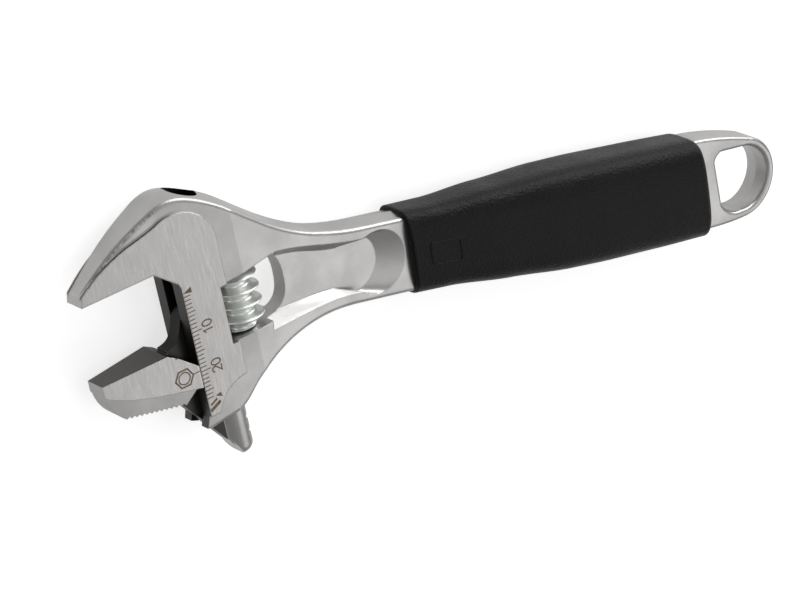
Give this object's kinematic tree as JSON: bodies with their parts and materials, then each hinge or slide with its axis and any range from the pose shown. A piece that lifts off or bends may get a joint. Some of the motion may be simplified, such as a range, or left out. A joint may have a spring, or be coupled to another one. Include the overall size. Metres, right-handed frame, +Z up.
{
  "type": "adjustable wrench",
  "caption": "Adjustable wrench: forged head with a sliding lower jaw driven by a thumb worm, a moulded handle sleeve and a hanging ring.",
  "frame": {"origin": "on the table under the middle of the wrench's bounding box, with the wrench lying flat and its jaws 20 mm open", "axes": "+X along the handle from the jaws to the hanging ring, +Y towards the fixed jaw's side, +Z up, across the wrench's thickness"},
  "size_m": [0.2076, 0.0658, 0.0177],
  "materials": {
    "forged_steel": "satin",
    "jaw_steel": "satin",
    "zinc_worm": "bright zinc plate",
    "pin_steel": "turned",
    "spring_steel": "drawn wire",
    "grip_black": "fine grain"
  },
  "bodies": {
    "frame": {"wrench_body": "forged_steel", "grip_sleeve": "grip_black", "worm_pin": "pin_steel", "worm_spring": "spring_steel"},
    "jaw": {"movable_jaw": "jaw_steel"},
    "worm": {"adjusting_worm": "zinc_worm"}
  },
  "joints": [
    {"name": "jaw_slide", "type": "slide", "parent": "frame", "child": "jaw", "axis": [0.2588, -0.9659, 0], "range_m": [-0.0199, 0.007]},
    {"name": "worm_spin", "type": "hinge", "parent": "frame", "child": "worm", "pos_m": [-0.06051, 0.00444, 0.00885], "axis": [0.2588, -0.9659, 0], "range_deg": [-2047.9, 721]}
  ],
  "couplings": [
    {"joint": "worm_spin", "follows": "jaw_slide", "rad_per_m": 1795.2}
  ]
}
